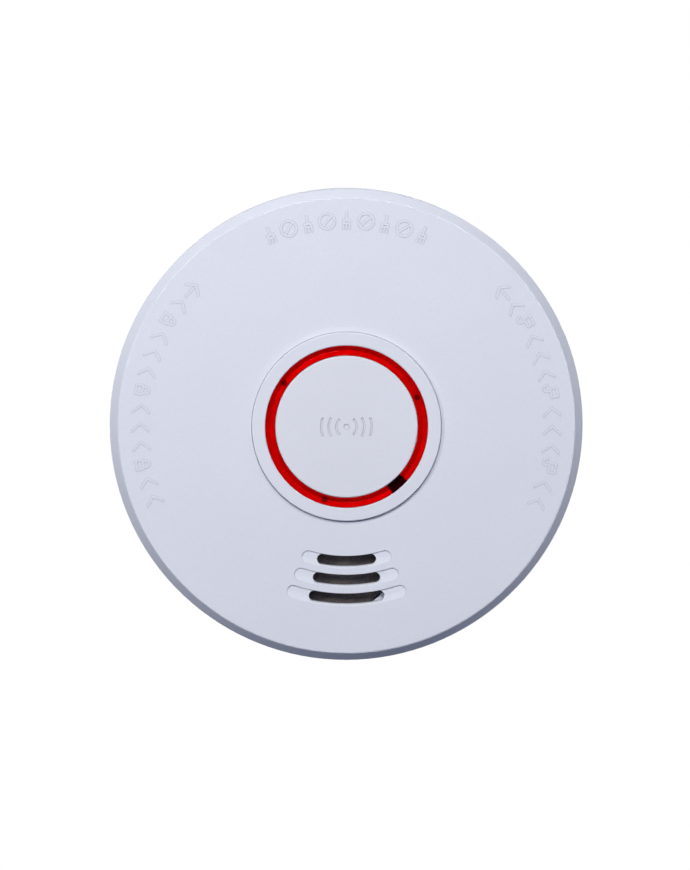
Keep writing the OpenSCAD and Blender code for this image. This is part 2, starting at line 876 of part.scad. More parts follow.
// An axial resistor lying along Y on its bent legs
module axial_resistor() {
    body_l = 6;
    body_r = 1.1;
    lift = 1.5;
    span = 8.6;
    translate([0, 0, lift]) rotate([90, 0, 0])
        rotate_extrude()
            smooth_polygon([[0, -body_l / 2, 0], [body_r + 0.15, -body_l / 2, 0.3],
                [body_r + 0.15, -body_l / 2 + 1.2, 0.2], [body_r, -body_l / 2 + 1.4, 0],
                [body_r, body_l / 2 - 1.4, 0], [body_r + 0.15, body_l / 2 - 1.2, 0.2],
                [body_r + 0.15, body_l / 2, 0.3], [0, body_l / 2, 0]]);
    translate([-0.25, -span / 2, lift - 0.25]) cube([0.5, span, 0.5]);
    for (side = [-1, 1])
        translate([-0.25, side * (span / 2 - 0.25) - 0.25, 0]) cube([0.5, 0.5, lift]);
}

module resistors() {
    color("tan") {
        for (i = [0:3])
            translate([-9.5 - 3.4 * i, -8, board_top]) axial_resistor();
        for (i = [0:2])
            translate([9 + 3.4 * i, -0.5, board_top]) axial_resistor();
    }
}

module horn_coil() {
    color("dimgray")
        translate([25.5, -7, board_top])
            rotate_extrude()
                smooth_polygon([[0, 0, 0], [4.4, 0, 0.3], [4.4, 1.2, 0.3], [3.7, 1.6, 0],
                    [3.7, 7.4, 0], [4.4, 7.8, 0.3], [4.4, 9, 0.3], [0, 9, 0]]);
}

// ---------------------------------------------------------------------------------------------
// Smoke chamber

module in_chamber(angle = 0) {
    translate([chamber_at[0], chamber_at[1], 0]) rotate([0, 0, angle]) children();
}

// Turns a shape's Z axis into the outward radial direction at the height of the beam
module along_beam(start) {
    translate([start, 0, beam_z]) rotate([0, 90, 0]) children();
}

module optic_block() {
    floor_top_z = chamber_floor_z + chamber_floor_t;
    translate([optic_start - 0.5, -4, floor_top_z - cut])
        cube([17.9 - optic_start, 8, beam_z + 3.8 - floor_top_z + cut]);
}

module optic_room() {
    rim_start = optic_start + optic_length;
    along_beam(optic_start - 2) cylinder(r = optic_r + 0.06, h = 12);
    along_beam(rim_start - 0.1) cylinder(r = optic_r + 0.5, h = 5);
    translate([rim_start + 1, -2.2, 0]) cube([4, 4.4, beam_z + 2]);
}

module chamber_base() {
    color("black")
        difference() {
            union() {
                in_chamber()
                    translate([0, 0, chamber_floor_z])
                        rotate_extrude()
                            smooth_polygon([[0, 0, 0], [chamber_r, 0, 0.3],
                                [chamber_r, chamber_floor_t, 0.3], [0, chamber_floor_t, 0]]);
                for (a = [emitter_angle, receiver_angle])
                    in_chamber(a) optic_block();
            }
            for (a = [emitter_angle, receiver_angle])
                in_chamber(a) optic_room();
        }
}

function angle_apart(a, b) = abs((a - b + 540) % 360 - 180);

// Bent fins that let smoke in and keep light out; none stand where the optics are
module light_trap_vanes() {
    clear_angle = 30;
    for (i = [0:vane_places - 1]) {
        a = i * 360 / vane_places;
        if (min(angle_apart(a, emitter_angle), angle_apart(a, receiver_angle)) > clear_angle)
            rotate([0, 0, a])
                translate([14.8, 0]) {
                    rotate([0, 0, 50]) square([5.4, 0.9], center = true);
                    translate([-1.7, -2.1]) rotate([0, 0, -25]) square([3.2, 0.9], center = true);
                }
    }
}

module chamber_cover() {
    vane_bottom = chamber_floor_z + chamber_floor_t + 0.1;
    color("black")
        in_chamber() {
            translate([0, 0, chamber_lid_z])
                rotate_extrude()
                    smooth_polygon([[0, 0, 0], [chamber_r, 0, 0.3], [chamber_r, chamber_lid_t, 0.6],
                        [0, chamber_lid_t, 0]]);
            translate([0, 0, vane_bottom])
                linear_extrude(chamber_lid_z + cut - vane_bottom) light_trap_vanes();
        }
}

module insect_screen() {
    columns = 24;
    rows = 3;
    z0 = chamber_floor_z + chamber_floor_t + 0.05;
    z1 = chamber_lid_z - 0.05;
    row_pitch = (z1 - z0) / rows;
    screen_r = chamber_r - 0.35;
    window_w = 3.6;
    color("darkgray")
        in_chamber()
            difference() {
                tube(screen_r, screen_r - 0.3, z0, z1);
                for (i = [0:columns - 1], k = [0:rows - 1])
                    rotate([0, 0, i * 360 / columns])
                        translate([screen_r - 1, -window_w / 2, z0 + k * row_pitch + 0.4])
                            cube([2, window_w, row_pitch - 0.8]);
            }
}

// A 5 mm optic with its dome toward the middle of the chamber and two legs down to the board
module radial_optic() {
    tip = optic_length;
    turned([[0, 0, 0], [optic_r, 0, 1.9], [optic_r, tip, 0], [optic_r + 0.4, tip, 0],
        [optic_r + 0.4, tip + 1, 0], [0, tip + 1, 0]]);
}

module optic_with_legs(angle) {
    leg_start = optic_start + optic_length + 0.8;
    leg_w = 0.5;
    in_chamber(angle) {
        along_beam(optic_start) radial_optic();
        for (side = [-1, 1])
            translate([leg_start, side * 1.27 - leg_w / 2, beam_z - leg_w / 2]) {
                cube([1.2, leg_w, leg_w]);
                translate([1.2 - leg_w, 0, board_top + 0.05 - beam_z + leg_w / 2])
                    cube([leg_w, leg_w, beam_z - board_top - 0.05]);
            }
    }
}

module infrared_emitter() {
    color("lavender") optic_with_legs(emitter_angle);
}

module photodiode() {
    color("darkslategray") optic_with_legs(receiver_angle);
}

// ---------------------------------------------------------------------------------------------
// Horn

module in_horn() {
    translate([horn_at[0], horn_at[1], 0]) children();
}

module horn_lead_notch(z_top) {
    translate([-4.5, 8, horn_z - cut]) cube([9, 12, z_top - horn_z + cut]);
}

// The resonator: an upside-down cup with a sound port, stepped inside to seat the piezo
module horn_housing() {
    port_r = 2.2;
    resonator_r = piezo_r - 1.1;
    seat_r = piezo_r + 0.2;
    skirt_r = 15.3;
    color([0.12, 0.12, 0.12])
        in_horn()
            difference() {
                rotate_extrude()
                    smooth_polygon([[skirt_r, horn_z, 0], [horn_r, horn_z, 0.3], [horn_r, horn_top, 0.3],
                        [port_r, horn_top, 0], [port_r, horn_top - 1, 0], [resonator_r, horn_top - 1, 0.5],
                        [resonator_r, piezo_z + 0.28, 0], [seat_r, piezo_z + 0.28, 0],
                        [seat_r, piezo_z - 0.25, 0], [skirt_r, piezo_z - 0.25, 0]]);
                horn_lead_notch(24.8);
            }
}

module horn_base() {
    color([0.12, 0.12, 0.12])
        in_horn()
            difference() {
                tube(15.2, 11.5, horn_z, piezo_z - 0.28);
                horn_lead_notch(26);
            }
}

// Black felt over the horn that keeps dust out of the sound port
module horn_gauze() {
    color([0.15, 0.14, 0.14])
        in_horn()
            translate([0, 0, horn_top + 0.02]) cylinder(r = horn_r - 0.1, h = gauze_t);
}

module piezo_plate() {
    color("goldenrod")
        in_horn() rod(piezo_r, piezo_z, piezo_z + 0.25);
}

module piezo_ceramic() {
    color("ivory")
        in_horn() rod(10, piezo_z - 0.22, piezo_z - 0.02);
}

module horn_leads() {
    wire_r = 0.45;
    wire_pitch = 2.2;
    color("orange")
        for (i = [-1, 0, 1])
            bent_wire(wire_r, horn_at[0] + i * wire_pitch, -23, -12.5, 23.4, board_top + 0.05, 1.5);
}

// ---------------------------------------------------------------------------------------------
// Battery: a 9 V block lying flat, its terminals toward +X

battery_mid_z = battery_z + battery_t / 2;
battery_end_x = battery_at[0] + battery_l / 2;

module facing_plus_x(x, y, z) {
    translate([x, y, z]) rotate([90, 0, 90]) children();
}

module battery() {
    color("slategray")
        facing_plus_x(battery_end_x - battery_l, battery_at[1], battery_mid_z)
            linear_extrude(battery_l) rounded_rectangle(battery_w, battery_t, 2.4);
}

module battery_terminals() {
    color("silver") {
        facing_plus_x(battery_end_x + 0.02, battery_at[1] - terminal_offset, battery_mid_z)
            rotate_extrude()
                smooth_polygon([[0, 0, 0], [2.8, 0, 0], [2.5, 1.1, 0], [2.8, terminal_h, 0.4],
                    [0, terminal_h, 0]]);
        facing_plus_x(battery_end_x + 0.02, battery_at[1] + terminal_offset, battery_mid_z)
            difference() {
                cylinder(r = 3.9, h = terminal_h, $fn = 6);
                translate([0, 0, 0.4]) cylinder(r = 2.6, h = terminal_h);
            }
    }
}

module battery_snap() {
    snap_w = 25;
    snap_h = 12.5;
    color("black")
        difference() {
            facing_plus_x(battery_end_x + 0.3, battery_at[1], battery_mid_z)
                linear_extrude(snap_t) rounded_rectangle(snap_w, snap_h, 2.5);
            facing_plus_x(battery_end_x, battery_at[1] - terminal_offset, battery_mid_z)
                cylinder(r = 3.1, h = terminal_h + 0.5);
            facing_plus_x(battery_end_x, battery_at[1] + terminal_offset, battery_mid_z)
                cylinder(r = 4.1, h = terminal_h + 0.5);
        }
}

// One of the two leads from the snap connector to the board
module battery_lead(offset_x) {
    wire_r = 0.6;
    lead_z = 15.3;
    snap_side = battery_at[1] + 12.6;
    bent_wire(wire_r, battery_end_x + offset_x, snap_side, -14.9, lead_z, board_top + 0.05, 1.5);
}

module battery_lead_red() {
    color("firebrick") battery_lead(1.9);
}

module battery_lead_black() {
    color([0.1, 0.1, 0.1]) battery_lead(3.7);
}

// ---------------------------------------------------------------------------------------------

mounting_plate();
base_shell();
front_cover();
bezel_ring();
light_ring();
test_button();
button_spring();
button_bridge();
bridge_screws();
housing_screws();
circuit_board();
board_screws();
switch_body();
switch_plunger();
status_led();
light_pipe();
control_chip();
capacitors();
resistors();
horn_coil();
chamber_base();
chamber_cover();
insect_screen();
infrared_emitter();
photodiode();
horn_housing();
horn_base();
horn_gauze();
piezo_plate();
piezo_ceramic();
horn_leads();
battery();
battery_terminals();
battery_snap();
battery_lead_red();
battery_lead_black();
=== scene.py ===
import math
import random

import bmesh
import bpy
from mathutils import Matrix, Vector, noise


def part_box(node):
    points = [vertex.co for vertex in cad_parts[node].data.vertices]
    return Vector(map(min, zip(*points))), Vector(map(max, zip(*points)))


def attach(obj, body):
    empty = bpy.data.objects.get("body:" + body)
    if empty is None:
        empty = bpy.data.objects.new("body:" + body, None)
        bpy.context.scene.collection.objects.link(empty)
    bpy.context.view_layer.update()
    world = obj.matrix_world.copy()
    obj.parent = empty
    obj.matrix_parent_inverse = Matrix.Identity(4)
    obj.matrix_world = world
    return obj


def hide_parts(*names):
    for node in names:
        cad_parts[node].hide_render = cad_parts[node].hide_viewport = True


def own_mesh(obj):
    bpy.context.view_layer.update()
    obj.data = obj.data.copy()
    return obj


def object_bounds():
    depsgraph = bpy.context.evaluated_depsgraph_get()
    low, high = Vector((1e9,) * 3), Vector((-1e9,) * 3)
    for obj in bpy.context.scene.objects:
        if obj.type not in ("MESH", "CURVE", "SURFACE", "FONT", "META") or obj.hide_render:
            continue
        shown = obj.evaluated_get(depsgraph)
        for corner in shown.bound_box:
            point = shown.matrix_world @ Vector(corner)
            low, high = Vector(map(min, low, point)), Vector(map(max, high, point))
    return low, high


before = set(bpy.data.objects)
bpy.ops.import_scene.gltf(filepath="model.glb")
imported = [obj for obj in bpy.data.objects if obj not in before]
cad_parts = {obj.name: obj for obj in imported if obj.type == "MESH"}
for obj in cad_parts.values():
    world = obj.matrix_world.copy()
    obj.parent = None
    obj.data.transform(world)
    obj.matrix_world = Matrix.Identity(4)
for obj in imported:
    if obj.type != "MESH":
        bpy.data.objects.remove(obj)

cad_low, cad_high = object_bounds()

MM = 0.001
BODY_RADIUS = (cad_high.x - cad_low.x) / 2
FACE_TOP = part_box("front_cover")[1].z


# --------------------------------------------------------------------------------------------------
# Materials. Every finish is built from nodes in object space, so sizes below are in millimetres.

class Finish:
    """One material while it is being built."""

    def __init__(self, name):
        self.material = bpy.data.materials.new(name)
        self.material.use_nodes = True
        self.tree = self.material.node_tree
        self.tree.nodes.clear()
        self.place = self.node("ShaderNodeTexCoord").outputs["Object"]

    def node(self, kind, inputs=None, **settings):
        made = self.tree.nodes.new(kind)
        for key, value in settings.items():
            setattr(made, key, value)
        for key, value in (inputs or {}).items():
            self.feed(value, made.inputs[key])
        return made

    def feed(self, value, socket):
        if isinstance(value, bpy.types.NodeSocket):
            self.tree.links.new(value, socket)
        elif hasattr(value, "__len__") and len(value) == 3 and socket.type == "RGBA":
            socket.default_value = (*value, 1)
        else:
            socket.default_value = value

    def noise(self, size_mm, detail=2.0, roughness=0.5, stretch=(1, 1, 1)):
        place = self.node("ShaderNodeMapping", {"Vector": self.place, "Scale": stretch}).outputs[0]
        return self.node("ShaderNodeTexNoise", {
            "Vector": place, "Scale": 1 / (size_mm * MM), "Detail": detail, "Roughness": roughness,
        }).outputs["Fac"]

    def spread(self, value, low, high, low_in=0.3, high_in=0.7):
        return self.node("ShaderNodeMapRange", {
            "Value": value, "From Min": low_in, "From Max": high_in, "To Min": low, "To Max": high,
        }).outputs[0]

    def blend(self, share, first, second, kind="MIX"):
        made = self.node("ShaderNodeMix", data_type="RGBA", blend_type=kind)
        self.feed(share, made.inputs[0])
        self.feed(first, made.inputs[6])
        self.feed(second, made.inputs[7])
        return made.outputs[2]

    def combine(self, first, second, kind="ADD"):
        return self.node("ShaderNodeMath", {0: first, 1: second}, operation=kind).outputs[0]

    def bump(self, height, depth_mm, strength=1.0, normal=None):
        inputs = {"Height": height, "Distance": depth_mm * MM, "Strength": strength}
        if normal is not None:
            inputs["Normal"] = normal
        return self.node("ShaderNodeBump", inputs).outputs[0]

    def shade(self, **inputs):
        names = {key.replace("_", " "): value for key, value in inputs.items()}
        surface = self.node("ShaderNodeBsdfPrincipled", names)
        self.node("ShaderNodeOutputMaterial", {"Surface": surface.outputs[0]})
        return self.material


def scaled(colour, factor):
    return tuple(min(1.0, channel * factor) for channel in colour)


def moulded_plastic(name, colour, roughness=0.5, grain=0.22, depth=0.012, shine=0.4, painted_crease_shade=0.0):
    """Injection-moulded plastic: a fine eroded texture over slow waviness and uneven colour.

    A crease shade above 0 paints shade into the colour at the foot of every small step, from ambient
    occlusion.
    """
    f = Finish(name)
    slow = f.noise(28, 3)
    fine = f.noise(grain, 3, 0.6)
    shade = f.blend(f.spread(slow, 0, 1), scaled(colour, 0.975), scaled(colour, 1.015))
    shade = f.blend(f.spread(fine, 0, 1), shade, scaled(colour, 0.92))
    if painted_crease_shade:
        # Painted shade: ambient occlusion within 0.3 mm darkens the colour at the foot of small steps.
        reach = 0.3 * MM
        flat = 0.96
        open_sky = f.node("ShaderNodeAmbientOcclusion", {"Distance": reach}, samples=8).outputs["AO"]
        shade = f.blend(f.spread(open_sky, painted_crease_shade, 0, 0, flat), shade, scaled(colour, 0.3))
    normal = f.bump(f.noise(9, 2), 0.03, 0.35)
    normal = f.bump(fine, depth, 0.6, normal)
    inputs = {"Base_Color": shade, "Normal": normal, "Specular_IOR_Level": shine}
    cloudy_polish = f.spread(f.noise(3.5, 3), roughness - 0.05, roughness + 0.05)
    inputs["Roughness"] = f.combine(cloudy_polish, f.spread(fine, -0.03, 0.03))
    return f.shade(**inputs)


def peg_centres():
    """Where the light ring's pegs stand: its lowest vertices, gathered into groups."""
    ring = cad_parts["light_ring"].data.vertices
    floor = min(v.co.z for v in ring)
    same_height = 0.01 * MM
    peg_spacing = 3 * MM
    groups = []
    for v in ring:
        if v.co.z > floor + same_height:
            continue
        near = [g for g in groups if (g[0] - v.co).length < peg_spacing]
        if near:
            near[0].append(v.co.copy())
        else:
            groups.append([v.co.copy()])
    centres = []
    for group in groups:
        low = Vector([min(p[i] for p in group) for i in range(3)])
        high = Vector([max(p[i] for p in group) for i in range(3)])
        centres.append((low + high) / 2)
    return centres


def painted_shade_under_ring(f):
    """1 where shade is painted on the translucent ring: over its pegs and the status light's window, which
    look dark through it.
    """
    level = f.node("ShaderNodeVectorMath", {0: f.place, 1: (1, 1, 0)}, operation="MULTIPLY").outputs[0]
    peg_core, peg_edge = 0.6 * MM, 0.95 * MM
    peg_shade_share = 0.72
    # Painted shade: soft dark discs over the pegs.
    dark = 0.0
    for centre in peg_centres():
        away = f.node("ShaderNodeVectorMath", {0: level, 1: (centre.x, centre.y, 0)},
                      operation="DISTANCE").outputs["Value"]
        disc = f.spread(away, peg_shade_share, 0.0, peg_core, peg_edge)
        dark = f.combine(dark, disc, "MAXIMUM")
    low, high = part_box("light_pipe")
    middle = (low + high) / 2
    edge = f.node("ShaderNodeVectorMath", {0: level}, operation="NORMALIZE").outputs[0]
    turn = f.node("ShaderNodeVectorMath", {0: edge, 1: Vector((middle.x, middle.y, 0)).normalized()},
                  operation="DISTANCE").outputs["Value"]
    ring_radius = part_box("test_button")[1].x
    half_window = 2.2 * MM / ring_radius
    # Painted shade over the status light's window.
    window = f.spread(turn, 1.0, 0.0, half_window * 0.9, half_window * 1.08)
    return f.combine(dark, window, "MAXIMUM")


def red_light_guide(name):
    """Polished translucent red acrylic: it glows where light enters, with painted shade over pegs and
    window.
    """
    f = Finish(name)
    cloud = f.noise(2.2, 4, 0.6)
    colour = f.blend(f.spread(cloud, 0, 1), (0.56, 0.0, 0.0), (0.76, 0.0, 0.0))
    # Painted shade: the colour turns almost black over the pegs and the window.
    colour = f.blend(painted_shade_under_ring(f), colour, (0.018, 0.0, 0.001))
    normal = f.bump(f.noise(0.9, 2), 0.012, 0.3)
    body = f.node("ShaderNodeBsdfDiffuse", {"Color": colour, "Normal": normal})
    glow = f.node("ShaderNodeSubsurfaceScattering", {
        "Color": colour, "Scale": 0.3 * MM, "Radius": (1.0, 0.02, 0.02), "Normal": normal})
    inside = f.node("ShaderNodeMixShader", {0: 0.06, 1: body.outputs[0], 2: glow.outputs[0]})
    polish = f.node("ShaderNodeBsdfGlossy", {
        "Color": (0.35, 0.3, 0.3), "Roughness": f.spread(f.noise(4, 3), 0.08, 0.18), "Normal": normal})
    facing = f.node("ShaderNodeFresnel", {"IOR": 1.49, "Normal": normal}).outputs[0]
    surface = f.node("ShaderNodeMixShader", {0: facing, 1: inside.outputs[0], 2: polish.outputs[0]})
    f.node("ShaderNodeOutputMaterial", {"Surface": surface.outputs[0]})
    return f.material


def clear_plastic(name, colour, roughness=0.08, transmission=0.85):
    f = Finish(name)
    tint = f.blend(f.spread(f.noise(3, 3), 0, 1), scaled(colour, 0.9), colour)
    normal = f.bump(f.noise(0.8, 2), 0.01, 0.3)
    return f.shade(Base_Color=tint, Normal=normal, Transmission_Weight=transmission, IOR=1.49,
                   Roughness=f.spread(f.noise(2, 3), roughness, roughness + 0.1))


def metal(name, colour, roughness=0.3, streak=(1, 1, 12), tarnish=0.25):
    """Plated or rolled metal: directional scratches, a cloudy tarnish and small pits."""
    f = Finish(name)
    scratches = f.noise(0.25, 4, 0.7, streak)
    cloud = f.noise(2.5, 4, 0.6)
    tone = f.blend(f.spread(cloud, 0, tarnish), colour, scaled(colour, 0.55))
    tone = f.blend(f.spread(scratches, 0, 0.3), tone, scaled(colour, 1.15))
    normal = f.bump(scratches, 0.01, 0.4)
    cloudy_polish = f.spread(cloud, roughness, roughness + 0.15)
    polish = f.combine(cloudy_polish, f.spread(scratches, -0.05, 0.08))
    return f.shade(Base_Color=tone, Metallic=1.0, Normal=normal, Roughness=polish)


def board_laminate(name):
    """Green solder mask over raised lines of copper, with the glass weave faintly showing."""
    f = Finish(name)
    tracks = f.node("ShaderNodeTexBrick", {
        "Vector": f.place, "Scale": 1 / (7 * MM), "Mortar Size": 0.045, "Mortar Smooth": 0.1,
        "Brick Width": 0.8, "Row Height": 0.25, "Color1": (0, 0, 0), "Color2": (0, 0, 0),
        "Mortar": (1, 1, 1),
    }, offset=0.35, offset_frequency=3, squash=0.6, squash_frequency=2).outputs["Color"]
    bands = {"Vector": f.place, "Scale": 1 / (2.2 * MM)}
    warp = f.node("ShaderNodeTexWave", bands, bands_direction="X").outputs[1]
    weft = f.node("ShaderNodeTexWave", bands, bands_direction="Y").outputs[1]
    weave = f.combine(warp, weft, "MULTIPLY")
    mask = f.blend(f.spread(f.noise(6, 3), 0, 1), (0.012, 0.12, 0.045), (0.02, 0.17, 0.065))
    mask = f.blend(f.spread(weave, 0, 0.2, 0, 1), mask, (0.03, 0.2, 0.08))
    colour = f.blend(tracks, mask, (0.05, 0.33, 0.1))
    normal = f.bump(tracks, 0.05, 0.6)
    normal = f.bump(weave, 0.01, 0.4, normal)
    return f.shade(Base_Color=colour, Normal=normal, Roughness=f.spread(f.noise(3, 3), 0.25, 0.4),
                   Coat_Weight=0.3)


def felt(name, colour):
    """Matted black fibres: fine crossed strands, fluff and a soft sheen at grazing angles."""
    f = Finish(name)
    strands = f.combine(f.noise(0.35, 4, 0.7, (1, 7, 1)), f.noise(0.35, 4, 0.7, (7, 1, 1)))
    clumps = f.noise(1.6, 4, 0.65)
    tone = f.blend(f.spread(strands, 0, 1, 0.7, 1.3), scaled(colour, 0.5), scaled(colour, 1.9))
    tone = f.blend(f.spread(clumps, 0, 0.6), tone, scaled(colour, 0.7))
    normal = f.bump(f.combine(strands, clumps), 0.12, 0.9)
    return f.shade(Base_Color=tone, Normal=normal, Roughness=f.spread(clumps, 0.85, 1.0),
                   Sheen_Weight=0.35, Sheen_Roughness=0.6, Specular_IOR_Level=0.2)


def glazed(name, colour, roughness=0.2, speck=0.2):
    """Lacquer or glazed ceramic over a slightly uneven body, with small specks."""
    f = Finish(name)
    cloud = f.noise(1.2, 4, 0.6)
    tone = f.blend(f.spread(cloud, 0, 1), scaled(colour, 0.82), scaled(colour, 1.12))
    tone = f.blend(f.spread(f.noise(speck, 1), 0, 0.5, 0.62, 0.7), tone, scaled(colour, 0.5))
    return f.shade(Base_Color=tone, Normal=f.bump(cloud, 0.03, 0.4),
                   Roughness=f.spread(cloud, roughness, roughness + 0.12), Coat_Weight=0.35)


def wire_insulation(name, colour):
    """Soft insulation drawn over strands: fine lengthwise lines and a waxy bloom."""
    f = Finish(name)
    lines = f.noise(0.12, 3, 0.6, (1, 0.15, 1))
    bloom = f.noise(2.5, 3)
    tone = f.blend(f.spread(bloom, 0, 1), scaled(colour, 0.8), scaled(colour, 1.15))
    return f.shade(Base_Color=tone, Normal=f.bump(lines, 0.012, 0.4),
                   Roughness=f.spread(bloom, 0.36, 0.55))


def battery_jacket(name):
    """A lacquered steel jacket: dark sides, a copper-coloured band and a fine stripe, with scuffs."""
    f = Finish(name)
    low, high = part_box("battery")
    along = f.node("ShaderNodeSeparateXYZ", {0: f.place}).outputs[0]
    band_start = high.x - 11 * MM

    def from_here_on(start, blur):
        return f.spread(along, 0, 1, start, start + blur)

    band = from_here_on(band_start, 0.1 * MM)
    stripe_start = from_here_on(band_start - 2.0 * MM, 0.05 * MM)
    stripe_end = from_here_on(band_start - 1.4 * MM, 0.05 * MM)
    pinstripe = f.combine(stripe_start, stripe_end, "SUBTRACT")
    cloud = f.noise(3.5, 4)
    dark = f.blend(f.spread(cloud, 0, 1), (0.035, 0.037, 0.045), (0.06, 0.062, 0.075))
    tone = f.blend(band, dark, (0.62, 0.27, 0.11))
    tone = f.blend(pinstripe, tone, (0.7, 0.7, 0.7))
    scuffs = f.noise(0.5, 5, 0.75, (0.3, 1, 1))
    tone = f.blend(f.spread(scuffs, 0, 0.5, 0.62, 0.72), tone, (0.35, 0.35, 0.36))
    return f.shade(Base_Color=tone, Metallic=f.spread(band, 0.55, 0.8, 0, 1),
                   Normal=f.bump(scuffs, 0.008, 0.4), Roughness=f.spread(cloud, 0.24, 0.38),
                   Coat_Weight=0.2)


COOL_WHITE = (0.79, 0.806, 0.862)

# The crease values below paint shade at the foot of small steps in these plastics.
FINISHES = {
    "cover_plastic": lambda n: moulded_plastic(n, COOL_WHITE, 0.55, shine=0.28, painted_crease_shade=1.2),
    "button_plastic": lambda n: moulded_plastic(n, (0.79, 0.806, 0.848), 0.45, 0.2, painted_crease_shade=1.1),
    "base_plastic": lambda n: moulded_plastic(n, (0.76, 0.775, 0.84), 0.55, 0.3, painted_crease_shade=0.9),
    "plate_plastic": lambda n: moulded_plastic(n, (0.74, 0.755, 0.81), 0.6, 0.35, painted_crease_shade=0.9),
    "inner_plastic": lambda n: moulded_plastic(n, (0.70, 0.71, 0.72), 0.5),
    "red_light_guide": red_light_guide,
    "spring_steel": lambda n: metal(n, (0.58, 0.57, 0.56), 0.25, (1, 1, 6)),
    "zinc_steel": lambda n: metal(n, (0.66, 0.68, 0.72), 0.3),
    "board_laminate": board_laminate,
    "black_plastic": lambda n: moulded_plastic(n, (0.022, 0.022, 0.024), 0.5),
    "switch_plastic": lambda n: moulded_plastic(n, (0.016, 0.016, 0.017), 0.38, 0.15),
    "red_lens": lambda n: clear_plastic(n, (0.75, 0.03, 0.03), 0.2, 0.5),
    "clear_acrylic": lambda n: clear_plastic(n, (0.95, 0.97, 1.0)),
    "chip_epoxy": lambda n: moulded_plastic(n, (0.025, 0.025, 0.028), 0.62, 0.12),
    "capacitor_sleeve": lambda n: glazed(n, (0.02, 0.028, 0.1), 0.3),
    "resistor_ceramic": lambda n: glazed(n, (0.66, 0.47, 0.27), 0.25),
    "coil_sleeve": lambda n: moulded_plastic(n, (0.035, 0.035, 0.038), 0.4, 0.4),
    "chamber_plastic": lambda n: moulded_plastic(n, (0.014, 0.014, 0.015), 0.7, 0.3, 0.03),
    "screen_steel": lambda n: metal(n, (0.5, 0.5, 0.5), 0.35),
    "clear_lens": lambda n: clear_plastic(n, (0.8, 0.78, 0.9), 0.06, 0.8),
    "dark_lens": lambda n: clear_plastic(n, (0.06, 0.04, 0.08), 0.08, 0.4),
    "horn_plastic": lambda n: moulded_plastic(n, (0.03, 0.029, 0.03), 0.55),
    "black_felt": lambda n: felt(n, (0.165, 0.142, 0.134)),
    "piezo_brass": lambda n: metal(n, (0.78, 0.56, 0.22), 0.25, (1, 8, 1)),
    "piezo_ceramic": lambda n: glazed(n, (0.78, 0.75, 0.68), 0.3),
    "orange_wire": lambda n: wire_insulation(n, (0.75, 0.22, 0.03)),
    "battery_jacket": battery_jacket,
    "nickel_steel": lambda n: metal(n, (0.68, 0.65, 0.60), 0.22),
    "red_wire": lambda n: wire_insulation(n, (0.55, 0.02, 0.02)),
    "black_wire": lambda n: wire_insulation(n, (0.015, 0.015, 0.016)),
}


def paint_nodes():
    """Gives every CAD node the finish of its material slot."""
    made = {}
    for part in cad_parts.values():
        slot_name = part.data.materials[0].name.split(".")[0]
        if slot_name not in made:
            made[slot_name] = FINISHES[slot_name](slot_name + "_look")
        for index in range(len(part.material_slots)):
            part.material_slots[index].material = made[slot_name]
    return made


looks = paint_nodes()


# --------------------------------------------------------------------------------------------------
# Pieces built here, each in the place of a plainer CAD node or soldered to the board

class Shape:
    """Vertices and faces of one piece while it is being built, in metres."""

    def __init__(self):
        self.points = []
        self.faces = []

    def ring(self, points):
        start = len(self.points)
        self.points.extend(points)
        return list(range(start, start + len(points)))

    def join(self, first, second):
        count = len(first)
        for i in range(count):
            after = (i + 1) % count
            self.faces.append((first[i], first[after], second[after], second[i]))

    def wire(self, path, radius, sides=8, closed=False):
        """A round wire along a path, carried by frames that don't twist."""
        count = len(path)
        rings = []
        normal = None
        for i, point in enumerate(path):
            after = path[(i + 1) % count] if closed or i + 1 < count else point
            before = path[i - 1] if closed or i > 0 else point
            heading = (after - before).normalized()
            if normal is None:
                normal = heading.orthogonal().normalized()
            normal = (normal - heading * normal.dot(heading)).normalized()
            side = heading.cross(normal)
            angles = [2 * math.pi * k / sides for k in range(sides)]
            rings.append(self.ring([point + (normal * math.cos(a) + side * math.sin(a)) * radius
                                    for a in angles]))
        for first, second in zip(rings, rings[1:]):
            self.join(first, second)
        if closed:
            self.close_loop(rings[-1], rings[0])
        else:
            self.faces.append(tuple(reversed(rings[0])))
            self.faces.append(tuple(rings[-1]))

    def close_loop(self, last, first):
        """Joins a loop's ends, turned so that the nearest points meet."""
        count = len(last)
        anchor = self.points[last[0]]
        shift = min(range(count), key=lambda k: (self.points[first[k]] - anchor).length)
        self.join(last, first[shift:] + first[:shift])

    def turned(self, centre, outline, sides):
        """A solid of revolution round a vertical axis, from (radius, z) pairs, closed at both ends."""
        rings = []
        for radius, z in outline:
            angles = [2 * math.pi * k / sides for k in range(sides)]
            rings.append(self.ring([around(centre, radius, a, z) for a in angles]))
        for first, second in zip(rings, rings[1:]):
            self.join(first, second)
        self.faces.append(tuple(reversed(rings[0])))
        self.faces.append(tuple(rings[-1]))

    def make(self, name, slot_name, *replaced):
        mesh = bpy.data.meshes.new(name)
        mesh.from_pydata(self.points, [], self.faces)
        tidy = bmesh.new()
        tidy.from_mesh(mesh)
        bmesh.ops.recalc_face_normals(tidy, faces=tidy.faces)
        tidy.to_mesh(mesh)
        tidy.free()
        for face in mesh.polygons:
            face.use_smooth = True
        piece = bpy.data.objects.new(name, mesh)
        bpy.context.scene.collection.objects.link(piece)
        mesh.materials.append(looks[slot_name])
        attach(piece, "alarm")
        if replaced:
            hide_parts(*replaced)
        return piece


def around(centre, radius, angle, z):
    return Vector((centre.x + radius * math.cos(angle), centre.y + radius * math.sin(angle), z))


